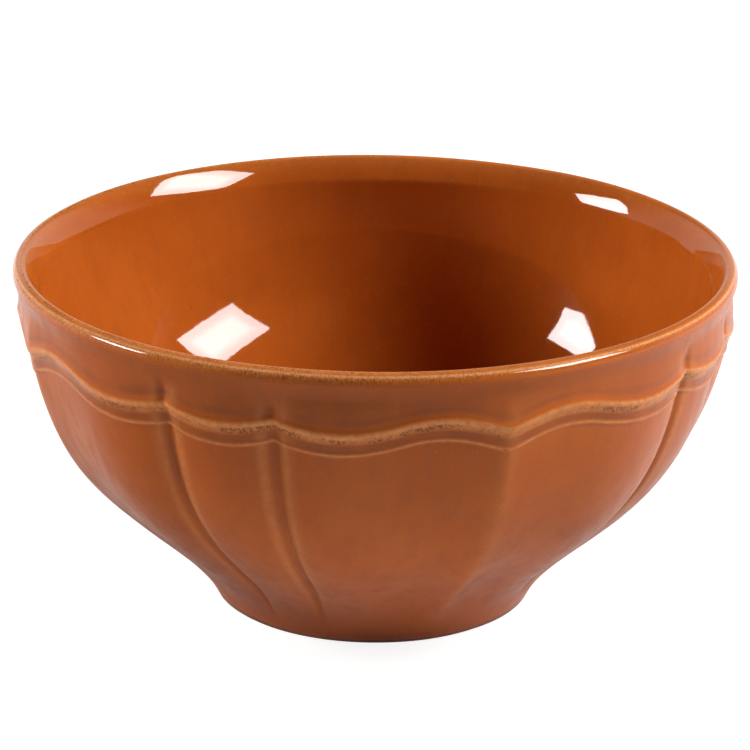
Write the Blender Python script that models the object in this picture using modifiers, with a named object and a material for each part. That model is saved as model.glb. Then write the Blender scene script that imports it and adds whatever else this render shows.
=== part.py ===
"""Stoneware bowl with a waved double bead under a rolled lip and fluted sides.

One pot of fired clay, its glass coat over the inside, lip and outside, and a second
patch of glaze in the well under the foot. Metres, +Z up, foot on z = 0, axis on Z.
"""

import math
from collections import namedtuple

import bmesh
import bpy
import numpy as np

COLLECTION_NAME = "sauce_bowl"

# Overall sizes of the glazed bowl
RIM_DIAMETER = 0.1523
HEIGHT = 0.0748
FOOT_DIAMETER = 0.0676

# Rolled lip: its outer round, its tighter inner edge, how far the round tucks under and the cove
LIP_RADIUS = 0.0021
LIP_EDGE_RADIUS = 0.0007
LIP_TUCK = math.radians(35.0)
LIP_OVERHANG = 0.0011
LIP_COVE_HEIGHT = 0.0015

# Outer wall: one S curve that leaves the foot at a lean and meets the collar almost upright
FOOT_LEAN = math.radians(25.2)
FOOT_PULL = 0.0240
COLLAR_LEAN = math.radians(3.8)
COLLAR_PULL = 0.0452

# Wall and floor of the pot, over the glaze
BELLY_THICKNESS = 0.0038
FLOOR_THICKNESS = 0.0055
FLOOR_FLAT_RADIUS = 0.0140

# Rounded bevel inside the lip: it leans outwards, less so at its lower edge
BEVEL_TOP_LEAN = math.radians(34.0)
BEVEL_FOOT_LEAN = math.radians(23.5)
BEVEL_HEIGHT = 0.0048

# Foot ring and the well inside it
FOOT_RING_WIDTH = 0.0042
FOOT_EDGE_RADIUS = 0.0004
WELL_DEPTH = 0.0030
WELL_LEAN = math.radians(20.0)
WELL_CORNER_RADIUS = 0.0022
CORNER_LIMIT = 0.9

# Glaze: a glass skin that stops short of the table, lying a little off the clay
GLAZE_THICKNESS = 0.0004
GLAZE_CLEARANCE = 0.0003
GLAZE_LINE_HEIGHT = 0.0005
WELL_GLAZE_HEIGHT = 0.0012

# Waved double bead: distance of its upper line below the rim, and its section. The collar swells
# down to the upper bead, and the strip below it slopes back to the lower one.
BEAD_DROP = 0.0115
COLLAR_SWELL = 0.0006
UPPER_BEAD_WIDTH = 0.0036
UPPER_BEAD_RISE = 0.0003
BEAD_SPACING = 0.0044
LOWER_BEAD_WIDTH = 0.0019
LOWER_BEAD_RISE = 0.0003

# Wave of the beads and flutes of the wall: a brace and a narrow scallop in each repeat, with a
# groove between them. Points and dips are in parts of the rise, the turn in parts of half a brace.
# The lower bead has a deeper point on the brace, and crosses the groove more evenly.
REPEATS = 4
SCALLOP_WIDTH = 0.0239
WAVE_RISE = 0.0014
BRACE_TURN = 0.485
BRACE_POINT = 0.95
GROOVE_POINT = 0.35
SCALLOP_DIP = 1.2
LOWER_BRACE_POINT = 1.2
LOWER_GROOVE_POINT = 0.15
LOWER_SCALLOP_DIP = 1.2
FLUTE_SWELL = 0.0006
GROOVE_DEPTH = 0.0009
GROOVE_WIDTH = 0.0046
FLUTE_START_HEIGHT = 0.0030
FLUTE_FULL_HEIGHT = 0.0190
WAVE_FADE_HEIGHT = 0.0240
COLLAR_FLUTE_SHARE = 0.7

# Divisions of the turned surfaces
BRACE_COLUMNS = 6
COLUMN_BUNCHING = 0.06
WALL_ROWS = 7
LIP_ROWS = 3
LIP_EDGE_ROWS = 2
BEVEL_ROWS = 3
HOLLOW_ROWS = 2
CORNER_ROWS = 3
CURVE_SAMPLES = 400
AXIS_WELD = 0.00001

# Colours and roughness of the materials
CLAY_COLOUR = (0.42, 0.24, 0.14, 1.0)
CLAY_ROUGHNESS = 0.85
COAT_COLOUR = (0.37, 0.11, 0.03, 1.0)
WELL_COLOUR = (0.33, 0.10, 0.03, 1.0)
GLAZE_ROUGHNESS = 0.16

# Sizes that follow from those above
RIM_RADIUS = RIM_DIAMETER / 2
LIP_CENTRE = np.array([RIM_RADIUS - LIP_RADIUS, HEIGHT - LIP_RADIUS])
LIP_EDGE_CENTRE = np.array([RIM_RADIUS - LIP_RADIUS, HEIGHT - LIP_EDGE_RADIUS])
COLLAR_TOP = np.array([RIM_RADIUS - LIP_OVERHANG, HEIGHT - 2 * LIP_RADIUS - LIP_COVE_HEIGHT])
BEVEL_RADIUS = BEVEL_HEIGHT / (math.sin(BEVEL_TOP_LEAN) - math.sin(BEVEL_FOOT_LEAN))
COAT_DEPTH = GLAZE_THICKNESS + GLAZE_CLEARANCE
FLOOR_HEIGHT = WELL_DEPTH + FLOOR_THICKNESS
BEAD_HEIGHT = HEIGHT - BEAD_DROP
RING_OUTER = FOOT_DIAMETER / 2 - COAT_DEPTH / math.cos(FOOT_LEAN)
RING_INNER = RING_OUTER - FOOT_RING_WIDTH
HALF_REPEAT = math.pi / REPEATS
GROOVE_ANGLE = HALF_REPEAT - SCALLOP_WIDTH / 2 / RIM_RADIUS
TURN_ANGLE = BRACE_TURN * GROOVE_ANGLE
GROOVE_HALF_ANGLE = GROOVE_WIDTH / 2 / RIM_RADIUS

# A stretch of the bowl's section, from its start to its end: points (radius, height), how far
# each row slides with the wave, how far that is the lower bead's wave, how far the row stands
# proud and its share of the flutes
Rows = namedtuple("Rows", "points follow lower rise flute")


def clear_scene():
    """Remove whatever objects the file opened with."""
    for item in list(bpy.data.objects):
        bpy.data.objects.remove(item, do_unlink=True)


def plain_rows(points):
    """Rows of a stretch that is simply turned, without wave, bead or flute."""
    points = np.asarray(points, dtype=float)
    none = np.zeros(len(points))
    return Rows(points, none, none, none, none)


def joined(*stretches):
    """Stretches of the section laid end to end."""
    return Rows(*(np.concatenate(parts) for parts in zip(*stretches)))


def bezier(start, start_handle, end_handle, end):
    """Cubic Bezier curve, finely sampled."""
    t = np.linspace(0.0, 1.0, CURVE_SAMPLES)[:, None]
    s = 1.0 - t
    return s**3 * start + 3 * s * s * t * start_handle + 3 * s * t * t * end_handle + t**3 * end


def eased(start, start_way, end, end_way, rows):
    """Points between two ends on a cubic that leaves and arrives along the given directions."""
    t = np.linspace(0.0, 1.0, rows + 2)[1:-1, None]
    reach = np.linalg.norm(end - start)
    curve = (2 * t**3 - 3 * t**2 + 1) * start + (3 * t**2 - 2 * t**3) * end
    return curve + reach * ((t**3 - 2 * t**2 + t) * start_way + (t**3 - t**2) * end_way)


def arc(centre, radius, first_angle, last_angle, rows):
    """Points on an arc of the section, angles counted from straight outwards."""
    angles = np.linspace(first_angle, last_angle, rows)
    return centre + radius * np.stack([np.cos(angles), np.sin(angles)], axis=1)


def lean_way(lean):
    """Direction straight up, leaning outwards by an angle."""
    return np.array([math.sin(lean), math.cos(lean)])


def outer_curve():
    """S curve of the outer wall, from the table up to the collar."""
    foot = np.array([FOOT_DIAMETER / 2, 0.0])
    foot_handle = foot + FOOT_PULL * lean_way(FOOT_LEAN)
    collar_handle = COLLAR_TOP - COLLAR_PULL * lean_way(COLLAR_LEAN)
    return bezier(foot, foot_handle, collar_handle, COLLAR_TOP)


def outer_points(heights):
    """Points of the outer wall at the given heights."""
    curve = outer_curve()
    return np.stack([np.interp(heights, curve[:, 1], curve[:, 0]), heights], axis=1)


def inner_rows():
    """Inside of the bowl, from the middle of its floor up over the bevel to the lip."""
    curve = outer_curve()
    belly = len(curve) // 2
    along = curve[belly + 1] - curve[belly - 1]
    along /= np.linalg.norm(along)
    inwards = np.array([-along[1], along[0]])
    belly_point = curve[belly] + BELLY_THICKNESS * inwards
    into_wall = np.array([math.cos(BEVEL_TOP_LEAN), -math.sin(BEVEL_TOP_LEAN)])
    bevel_centre = LIP_EDGE_CENTRE + (BEVEL_RADIUS - LIP_EDGE_RADIUS) * into_wall
    bevel = arc(
        bevel_centre, BEVEL_RADIUS, math.pi - BEVEL_FOOT_LEAN, math.pi - BEVEL_TOP_LEAN, BEVEL_ROWS
    )
    flat_edge = np.array([FLOOR_FLAT_RADIUS, FLOOR_HEIGHT])
    return plain_rows(np.vstack([
        [[0.0, FLOOR_HEIGHT]],
        [flat_edge],
        eased(flat_edge, np.array([1.0, 0.0]), belly_point, along, HOLLOW_ROWS),
        [belly_point],
        eased(belly_point, along, bevel[0], lean_way(COLLAR_LEAN), HOLLOW_ROWS),
        bevel[:-1],
    ]))


def lip_rows():
    """Rolled lip, from the bevel over its inner edge, top and widest line to where it tucks under."""
    edge = arc(LIP_EDGE_CENTRE, LIP_EDGE_RADIUS, math.pi - BEVEL_TOP_LEAN, math.pi / 2, LIP_EDGE_ROWS)
    outer = arc(LIP_CENTRE, LIP_RADIUS, math.pi / 2, 0.0, LIP_ROWS)
    tuck = LIP_CENTRE + LIP_RADIUS * np.array([math.cos(LIP_TUCK), -math.sin(LIP_TUCK)])
    return plain_rows(np.vstack([edge, outer[1:], tuck]))


def outer_rows():
    """Collar, waved double bead and fluted wall, from under the lip to the edge of the glaze."""
    upper_foot = UPPER_BEAD_WIDTH / 2
    upper_shoulder = UPPER_BEAD_RISE * math.cos(math.pi / 4)
    channel = (upper_foot + BEAD_SPACING - LOWER_BEAD_WIDTH / 2) / 2
    band = [
        (upper_foot, 0.0),
        (upper_foot / 2, upper_shoulder),
        (0.0, UPPER_BEAD_RISE),
        (-upper_foot / 2, upper_shoulder),
        (-channel, 0.0),
        (-BEAD_SPACING, LOWER_BEAD_RISE),
        (-BEAD_SPACING - LOWER_BEAD_WIDTH / 2, 0.0),
    ]
    band_heights = BEAD_HEIGHT + np.array([offset for offset, _ in band])
    band_top = band_heights[0]
    band_foot = band_heights[-1]
    collar_heights = np.array([COLLAR_TOP[1], (COLLAR_TOP[1] + band_top) / 2])
    curve = outer_curve()
    wall = curve[(curve[:, 1] < band_foot) & (curve[:, 1] > GLAZE_LINE_HEIGHT)]
    step = np.linalg.norm(np.diff(wall, axis=0), axis=1)
    run = np.concatenate([[0.0], np.cumsum(step)])
    wall_heights = np.interp(np.linspace(run[-1], 0.0, WALL_ROWS + 1)[1:], run, wall[:, 1])
    heights = np.concatenate([collar_heights, band_heights, wall_heights])
    rise = np.interp(heights, [band_foot, BEAD_HEIGHT, COLLAR_TOP[1]], [0.0, COLLAR_SWELL, 0.0])
    rise[len(collar_heights):len(collar_heights) + len(band)] += [height for _, height in band]
    follow = np.interp(
        heights,
        [band_foot - WAVE_FADE_HEIGHT, band_foot, band_top, COLLAR_TOP[1]],
        [0.0, 1.0, 1.0, 0.0],
    )
    lower = np.interp(heights, [BEAD_HEIGHT - BEAD_SPACING, BEAD_HEIGHT], [1.0, 0.0])
    flute = np.interp(
        heights,
        [FLUTE_START_HEIGHT, FLUTE_FULL_HEIGHT, band_foot, band_top, COLLAR_TOP[1]],
        [0.0, 1.0, 1.0, COLLAR_FLUTE_SHARE, 0.0],
    )
    return Rows(outer_points(heights), follow, lower, rise, flute)


def foot_rows():
    """Bare clay under the glaze line: rounded edges and the flat standing face between them."""
    edge = FOOT_EDGE_RADIUS
    return plain_rows([
        [RING_OUTER + edge * math.tan(FOOT_LEAN), edge],
        [RING_OUTER - edge, 0.0],
        [RING_INNER + edge, 0.0],
        [RING_INNER - edge * math.tan(WELL_LEAN), edge],
    ])


def well_rows():
    """Glazed well inside the foot ring, from its side over the corner to the middle."""
    side_height = WELL_DEPTH - WELL_GLAZE_HEIGHT
    corner_share = 1.0 - math.sin(WELL_LEAN)
    corner = min(WELL_CORNER_RADIUS, CORNER_LIMIT * side_height / corner_share)
    side_foot = RING_INNER - COAT_DEPTH / math.cos(WELL_LEAN) - WELL_GLAZE_HEIGHT * math.tan(WELL_LEAN)
    side_top = side_foot - (side_height - corner * corner_share) * math.tan(WELL_LEAN)
    centre = np.array([side_top - corner * math.cos(WELL_LEAN), WELL_DEPTH - corner])
    return plain_rows(np.vstack([
        [[side_foot, WELL_GLAZE_HEIGHT]],
        arc(centre, corner, WELL_LEAN, math.pi / 2, CORNER_ROWS),
        [[0.0, WELL_DEPTH]],
    ]))


def section_ways(points):
    """Unit directions along a section and square to it, away from the clay, at each point."""
    step = np.diff(points, axis=0)
    step /= np.linalg.norm(step, axis=1)[:, None]
    along = np.concatenate([step[:1], step[:-1] + step[1:], step[-1:]])
    along /= np.linalg.norm(along, axis=1)[:, None]
    return along, np.stack([-along[:, 1], along[:, 0]], axis=1)


def sunk(rows, depth):
    """The same stretch of section, moved into the clay by a depth."""
    _, outwards = section_ways(rows.points)
    points = rows.points - depth * outwards
    points[rows.points[:, 0] == 0.0, 0] = 0.0
    return rows._replace(points=points)


def lobe(u, point):
    """Arch that starts at a sharp point below zero, peaks at one and is back at zero at u = 1."""
    span = math.pi - math.asin(point / (1.0 + point))
    return (1.0 + point) * np.sin(span * u) - point


def from_point(angle):
    """Angle from the point of the nearest brace, at most half a repeat."""
    return np.abs((angle + HALF_REPEAT) % (2 * HALF_REPEAT) - HALF_REPEAT)


def wave(angle, brace_point, groove_point, scallop_dip):
    """Bead line round the bowl, from -1 to 1: an arch and a sag make half a brace, then a scallop."""
    away = from_point(angle)
    arch = lobe(away / TURN_ANGLE, brace_point)
    sag = -lobe((GROOVE_ANGLE - away) / (GROOVE_ANGLE - TURN_ANGLE), groove_point)
    across = (away - GROOVE_ANGLE) / (HALF_REPEAT - GROOVE_ANGLE)
    scallop = groove_point - scallop_dip * np.sin(across * math.pi / 2)
    return np.select([away <= TURN_ANGLE, away <= GROOVE_ANGLE], [arch, sag], scallop)


def upper_wave(angle):
    """Line of the upper bead."""
    return wave(angle, BRACE_POINT, GROOVE_POINT, SCALLOP_DIP)


def lower_wave(angle):
    """Line of the lower bead."""
    return wave(angle, LOWER_BRACE_POINT, LOWER_GROOVE_POINT, LOWER_SCALLOP_DIP)


def flute_relief(angle):
    """Swell of the wall: out where the bead line dips, in where it arches, cut at its grooves."""
    from_groove = np.abs(from_point(angle) - GROOVE_ANGLE) / GROOVE_HALF_ANGLE
    groove = np.cos(np.minimum(from_groove, 1.0) * math.pi / 2) ** 2
    return -FLUTE_SWELL * upper_wave(angle) - GROOVE_DEPTH * groove


def column_angles():
    """Angles of the columns of faces, set closer at the brace's point and on each groove's lips."""
    share = np.linspace(0.0, 1.0, BRACE_COLUMNS + 1)
    bunch = COLUMN_BUNCHING * np.sin(2 * math.pi * share)
    brace = (GROOVE_ANGLE - GROOVE_HALF_ANGLE) * (share - bunch)
    half = np.concatenate([brace, [GROOVE_ANGLE, GROOVE_ANGLE + GROOVE_HALF_ANGLE, HALF_REPEAT]])
    whole = np.concatenate([half, 2 * HALF_REPEAT - half[-2:0:-1]])
    starts = 2 * HALF_REPEAT * np.arange(REPEATS)
    return (starts[:, None] + whole).ravel()


def turned_mesh(name, rows):
    """Turn a section round the axis with Screw, then shape it with the wave, beads and flutes."""
    columns = column_angles()
    profile = bpy.data.meshes.new(name + "_profile")
    count = len(rows.points)
    corners = [(radius, 0.0, height) for radius, height in rows.points]
    profile.from_pydata(corners, [(i, i + 1) for i in range(count - 1)], [])
    blank = bpy.data.objects.new(name + "_profile", profile)
    bpy.context.scene.collection.objects.link(blank)
    screw = blank.modifiers.new("turn", "SCREW")
    screw.angle = 2 * math.pi
    screw.steps = len(columns)
    screw.render_steps = len(columns)
    evaluated = blank.evaluated_get(bpy.context.evaluated_depsgraph_get())
    mesh = bpy.data.meshes.new_from_object(evaluated)
    bpy.data.objects.remove(blank, do_unlink=True)
    bpy.data.meshes.remove(profile)
    mesh.name = name
    shape_turned(mesh, rows, columns)
    weld_axis(mesh)
    mesh.shade_smooth()
    return mesh


def shape_turned(mesh, rows, columns):
    """Move each turned point: to its column, along the wall with the wave, and out by the relief."""
    count = len(rows.points)
    place = np.arange(len(mesh.vertices))
    row = place % count
    angle = columns[place // count]
    along, outwards = section_ways(rows.points)
    upper = upper_wave(angle)
    line = upper + (lower_wave(angle) - upper) * rows.lower[row]
    slide = -WAVE_RISE * line * rows.follow[row]
    proud = rows.rise[row] + flute_relief(angle) * rows.flute[row]
    point = rows.points[row] + slide[:, None] * along[row] + proud[:, None] * outwards[row]
    moved = np.stack([point[:, 0] * np.cos(angle), point[:, 0] * np.sin(angle), point[:, 1]], axis=1)
    mesh.vertices.foreach_set("co", moved.ravel())
    mesh.update()


def weld_axis(mesh):
    """Join the points that meet on the axis into one."""
    work = bmesh.new()
    work.from_mesh(mesh)
    bmesh.ops.remove_doubles(work, verts=work.verts, dist=AXIS_WELD)
    work.to_mesh(mesh)
    work.free()


def principled(name, colour, roughness):
    """Plain material of one colour and roughness."""
    material = bpy.data.materials.new(name)
    material.use_nodes = True
    shader = material.node_tree.nodes["Principled BSDF"]
    shader.inputs["Base Color"].default_value = colour
    shader.inputs["Roughness"].default_value = roughness
    shader.inputs["Metallic"].default_value = 0.0
    return material


def add_object(collection, name, mesh, material):
    """Put a mesh into the bowl's collection as a named object."""
    item = bpy.data.objects.new(name, mesh)
    item.data.materials.append(material)
    collection.objects.link(item)
    return item


def add_glaze(collection, name, rows, colour):
    """Glass skin on a stretch of the bowl's surface, its thickness lying towards the clay."""
    material = principled(name, colour, GLAZE_ROUGHNESS)
    item = add_object(collection, name, turned_mesh(name, rows), material)
    skin = item.modifiers.new("skin", "SOLIDIFY")
    skin.thickness = GLAZE_THICKNESS
    skin.offset = -1.0
    skin.use_even_offset = True
    skin.use_quality_normals = True
    return item


def main():
    """Build the clay body and its two stretches of glaze."""
    clear_scene()
    collection = bpy.data.collections.new(COLLECTION_NAME)
    bpy.context.scene.collection.children.link(collection)
    coat = joined(inner_rows(), lip_rows(), outer_rows())
    well = well_rows()
    clay = joined(sunk(coat, COAT_DEPTH), foot_rows(), sunk(well, COAT_DEPTH))
    fired_clay = principled("fired_clay", CLAY_COLOUR, CLAY_ROUGHNESS)
    add_object(collection, "stoneware_body", turned_mesh("stoneware_body", clay), fired_clay)
    add_glaze(collection, "glaze_coat", coat, COAT_COLOUR)
    add_glaze(collection, "foot_well_glaze", well, WELL_COLOUR)


main()
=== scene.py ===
"""Glazed stoneware bowl with a waved double bead under its lip and fluted sides.

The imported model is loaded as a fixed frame. Three surfaces worked out with numpy stand for its
three nodes: the glaze coat, the clay body and the glaze in the well under the foot. Metres, +Z up.
"""

import math

import bpy
import numpy as np
from mathutils import Matrix, Vector


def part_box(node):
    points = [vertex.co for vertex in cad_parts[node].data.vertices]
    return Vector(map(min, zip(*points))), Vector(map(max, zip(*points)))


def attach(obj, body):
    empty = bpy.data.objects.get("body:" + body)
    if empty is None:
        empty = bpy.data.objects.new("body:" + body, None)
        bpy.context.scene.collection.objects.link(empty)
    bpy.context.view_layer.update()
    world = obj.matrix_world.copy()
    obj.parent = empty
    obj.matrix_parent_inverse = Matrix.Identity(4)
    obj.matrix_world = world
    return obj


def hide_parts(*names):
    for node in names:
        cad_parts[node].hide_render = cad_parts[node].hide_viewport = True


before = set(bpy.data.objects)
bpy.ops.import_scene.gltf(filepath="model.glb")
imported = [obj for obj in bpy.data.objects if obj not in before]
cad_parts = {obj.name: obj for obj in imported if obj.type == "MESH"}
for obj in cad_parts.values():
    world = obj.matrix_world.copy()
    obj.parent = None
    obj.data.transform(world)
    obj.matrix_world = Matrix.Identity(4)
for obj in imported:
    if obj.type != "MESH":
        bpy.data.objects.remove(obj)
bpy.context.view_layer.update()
COAT_LOW, COAT_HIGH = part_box("glaze_coat")

bl_info = {
    "name": "Sauce Bowl",
    "version": (1, 0, 0),
    "blender": (4, 5, 0),
    "location": "View3D > Sidebar > Bowl",
    "description": "Builds a fluted stoneware bowl with a glossy brown glaze",
    "category": "Object",
}

BODY = "root"
MM = 0.001

# Divisions of the surfaces; a stride keeps one row in so many
COLUMNS = 384
COLUMN_SAMPLES = 20
CURVE_SAMPLES = 600
WAVE_SAMPLES = 1440
SECTION_STEP = 0.05 * MM
UNDERSIDE_STRIDE = 4
CLAY_STRIDE = 3
RING_STRIDE = 60
WELL_STRIDE = 40
WELL_RINGS = 13
FLOOR_COLUMNS = 96
FLOOR_RADIUS = 4.0
# Crowding of the columns: strength and width at a groove, in groove widths, and at the point of a brace
GROOVE_CROWD, GROOVE_SPREAD = 7.0, 2.2
POINT_CROWD, POINT_SPREAD = 3.0, math.radians(2.0)
# Height of a row of faces in millimetres, by the lip and over the beads, and how much it grows elsewhere
INNER_ROW, INNER_GROWTH = 0.35, 2.2
OUTER_ROW, COLLAR_GROWTH, WALL_GROWTH = 0.22, 0.40, 1.0
BEAD_ROW = 0.20
BEVEL_CROWD, BEVEL_SPREAD = 0.6, 1.2 * MM
# Lines between which it grows, in millimetres from the lip's crest, for beads and wall from the upper bead
INNER_STRETCH = (4.0, 30.0)
COLLAR_STRETCH = (3.0, 5.0)
BEAD_STRETCH = (-3.0, -1.5, 5.0, 7.0)
WALL_STRETCH = (6.0, 14.0)
# Largest share of the well's side that its round corner takes up
CORNER_LIMIT = 0.9
# Ends of the flutes: above the upper bead, where they start to fade, and above the collar's top
FLUTE_FADE, FLUTE_END = 2.0 * MM, 1.0 * MM
# Unevenness of the wall: seed, waves round the bowl and range of their pace along the section, per metre
WANDER_SEED = 7
WANDER_TURNS = (2, 3, 5, 7, 9, 12)
WANDER_PACE = (80.0, 260.0)
# Radius from which it has its full height
WANDER_FULL = 20 * MM
# Glaze gathered below the bevel: angle from +X and half length, in degrees, and share of its height
DROPS = ((-3.2, 2.6, 1.0), (-12.8, 1.6, 0.8), (-21.5, 5.0, 1.0), (131.0, 5.0, 0.5))

# Marks on the glaze: lines where each starts, is full, fades and ends. They are in millimetres along the
# section from the lip's crest, and outside it is positive
LIP_LINE = 1.45
LIP_THIN = (-4.5, -0.8, LIP_LINE, LIP_LINE + 0.4)
LIP_TOP = (-0.9, -0.3, 0.6, 1.2)
LIP_FRINGE = (LIP_LINE, LIP_LINE + 0.3, LIP_LINE + 0.3, LIP_LINE + 1.9)
# Painted shade on the collar under the lip: where it starts and where it is full
SHADE_UNDER_LIP = (LIP_LINE + 1.5, LIP_LINE + 3.0)
GLOSS_END = (2.0, 4.0)
# The same from the upper bead, and below it is positive
# Where the painted shade on the collar fades out, above the upper bead
COLLAR_SHADE_END = (-2.5, -1.5)
CREST = (-0.9, 0.0, 1.5, 2.5)
CREST_FADE = (0.4, 1.2)
SPECKED = (0.2, 0.9, 1.7, 2.6)
STRIP_START = (1.6, 2.6)
# End of the strip between the beads, in millimetres above the lower one
STRIP_END = 0.9
# Marks that are bells: middle, where it lies off the line, and half width
HOLLOW = (-2.5 * MM, 0.8 * MM)
# The line on the lip's crest is worn glaze and a painted highlight
EDGE_WIDTH = 0.30 * MM
LOWER_BREAK_WIDTH = 0.34 * MM
RIDGE_BREAK_WIDTH = math.radians(1.5)
LOWER_SPECK_SHIFT, LOWER_SPECK_WIDTH = 0.1 * MM, 0.55 * MM
POINT_SPECK_WIDTH = math.radians(5.0)
# The same across a groove, in parts of its half width
# Where a painted highlight lies on the lips of a groove, and its width
GROOVE_LIP_HIGHLIGHTS = (2.3, 1.0)
GROOVE_POOL_WIDTH = 1.0
GROOVE_SPECK_WIDTH = 3.0
# Strength of each mark
# Glaze that breaks lighter over edges; on the lips of the grooves it is also a painted highlight
THIN_AND_HIGHLIGHT_SHARES = {"lip": 0.20, "crest": 0.84, "lower": 0.66, "groove": 0.34, "ridge": 0.20}
# Glaze gathered in hollows and grooves; on the collar under the lip it is painted shade, and in the strip
# between the beads partly painted shade
POOL_AND_SHADE_SHARES = {"hollow": 0.62, "strip": 0.50, "collar": 0.28, "groove": 0.40}
CREST_FALL = 0.35
FRINGE_TOP = 0.8
LOWER_SPECKS = 0.90
GROOVE_SPECKS = 0.5
# Side on which the lip's glaze has run most, as an angle from +X, its share on the far side, and the cosines
# of the turn between which it grows
WORN_SIDE = math.radians(169.0)
WORN_LEAST = 0.25
WORN_STRETCH = (-0.5, 0.4)

# Fineness of the noises in glaze and clay, per metre
CLOUDS, FLOW, GRAIN, PATCHES, RAGGED = 42.0, 330.0, 1500.0, 150.0, 800.0
STREAKS, CLUSTERS, SPECKS, PINHOLES, SKIN = 3000.0, 140.0, 2200.0, 95.0, 260.0
SHADOWS, IRON_GRAINS, TOOTH = 70.0, 1900.0, 2600.0

# Soft boxes seen in the glaze: level and corners, by turn clockwise from straight behind and rise, in degrees
SOFT_BOXES = (
    (0.92, ((90.5, 23.9), (95.2, 41.5), (132.3, 38.0), (121.0, 23.2))),
    (1.10, (
        (-102.0, 16.4), (-93.0, 14.4), (-85.6, 15.2), (-80.2, 17.2),
        (-80.6, 21.6), (-84.2, 25.6), (-102.6, 27.8),
    )),
)
# Share of a box's light at its edge, and how far in the edge and the bright middle go, as sines
BOX_EDGE_SHARE = 0.72
BOX_EDGE = 0.006
BOX_MIDDLE = (0.03, 0.10)
# Depth of gloss below which a reflection is the first one, as the boxes show in no other
FIRST_MIRROR = 1.5
# Lamps: distance from the point that they face, its height, and their width and height as seen from there
LAMP_DISTANCE = 1.3
LAMP_AIM = 0.04
LAMP_SIZE = (math.radians(24.0), math.radians(20.0))
# Width of the camera's sensor in millimetres
SENSOR_WIDTH = 36.0
# Floor: share of its colour that the eye gets, and glow that makes up for the rest
FLOOR_SEEN = 0.3
FLOOR_GLOW = 0.87
WHITE = (1.0, 1.0, 1.0, 1.0)
# Ramps of brightness: low and high end, and the brightness there
HORIZON_HEIGHT = (0.05, 0.40, 0.46, 0.004)
HORIZON_SIDES = (-0.60, 0.80, 0.27, 0.95)
WALL_HEIGHT = (0.25, 0.45, 0.60, 0.0)
WALL_SIDES = (-0.30, 0.20, 0.0, 1.0)
FLOOR_SIDES = (-0.80, 0.45, 0.15, 1.15)
FLOOR_SHADE = (0.04, 0.14, 0.40, 1.0)
FLOOR_BOUNCE = (0.05, 0.15, 0.20, 0.0)


def length(name, description, default):
    """Float property that holds a length in metres."""
    return bpy.props.FloatProperty(
        name=name, description=description, default=default, unit="LENGTH", subtype="DISTANCE", precision=5,
    )


def turn(name, description, degrees):
    """Float property that holds an angle, given here in degrees."""
    return bpy.props.FloatProperty(
        name=name, description=description, default=math.radians(degrees), unit="ROTATION", subtype="ANGLE",
    )


def share(name, description, default):
    """Float property without a unit."""
    return bpy.props.FloatProperty(name=name, description=description, default=default, subtype="FACTOR")


def colour(name, description, default):
    """Colour property, linear red, green and blue."""
    return bpy.props.FloatVectorProperty(
        name=name, description=description, default=default, size=3, min=0.0, max=1.0, subtype="COLOR",
    )


class BowlForm(bpy.types.PropertyGroup):
    """Sizes of the bowl's section, over the glaze."""

    rim_diameter: length("Rim Diameter", "Width over the lip", COAT_HIGH[0] - COAT_LOW[0])
    height: length("Height", "Top of the lip above the table", 0.0747)
    foot_diameter: length("Foot Diameter", "Width of the foot at the table", 0.0676)
    lip_radius: length("Lip Radius", "Round of the lip's outer side", 0.0021)
    lip_edge_radius: length("Lip Edge Radius", "Round of the lip's inner edge", 0.0007)
    lip_tuck: turn("Lip Tuck", "How far the outer round goes on under its widest line", 35.0)
    lip_overhang: length("Lip Overhang", "Reach of the lip beyond the collar", 0.0011)
    cove_height: length("Cove Height", "Height of the hollow under the lip", 0.0015)
    bevel_top_lean: turn("Bevel Top Lean", "Lean of the rounded band inside the lip, at its top", 34.0)
    bevel_foot_lean: turn("Bevel Foot Lean", "Lean of that band at its lower edge", 23.5)
    bevel_height: length("Bevel Height", "Height of that band", 0.0048)
    drop_rise: length("Drop Rise", "Height of the glaze gathered below that band", 0.00028)
    drop_reach: length("Drop Reach", "Half width of that glaze", 0.00045)
    foot_lean: turn("Foot Lean", "Lean of the wall where it leaves the foot", 25.2)
    foot_pull: length("Foot Pull", "Reach of the curve's handle at the foot", 0.0240)
    collar_lean: turn("Collar Lean", "Lean of the wall under the lip", 3.8)
    collar_pull: length("Collar Pull", "Reach of the curve's handle at the collar", 0.0452)
    belly_thickness: length("Belly Thickness", "Wall halfway down", 0.0038)
    floor_thickness: length("Floor Thickness", "Floor over the well", 0.0055)
    floor_flat: length("Flat of the Floor", "Radius of the flat middle inside", 0.0140)
    softening: length("Softening", "Rounding of every edge under the glaze", 0.00035)


class FootForm(bpy.types.PropertyGroup):
    """Sizes of the foot ring, of the well in it and of the glaze."""

    ring_width: length("Ring Width", "Width of the bare ring", 0.0042)
    edge_radius: length("Edge Radius", "Rounding of the ring's edges", 0.0004)
    well_depth: length("Well Depth", "Depth of the well under the floor", 0.0030)
    well_lean: turn("Well Lean", "Lean of the well's side", 20.0)
    well_corner: length("Well Corner", "Rounding between the well's side and its middle", 0.0022)
    glaze_thickness: length("Glaze Thickness", "Thickness of the glass skin", 0.0004)
    glaze_clearance: length("Glaze Clearance", "Gap between glaze and clay", 0.0003)
    glaze_line: length("Glaze Line", "Lower edge of the glaze above the table", 0.0003)
    well_line: length("Well Line", "Lower edge of the glaze in the well", 0.0012)


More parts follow.
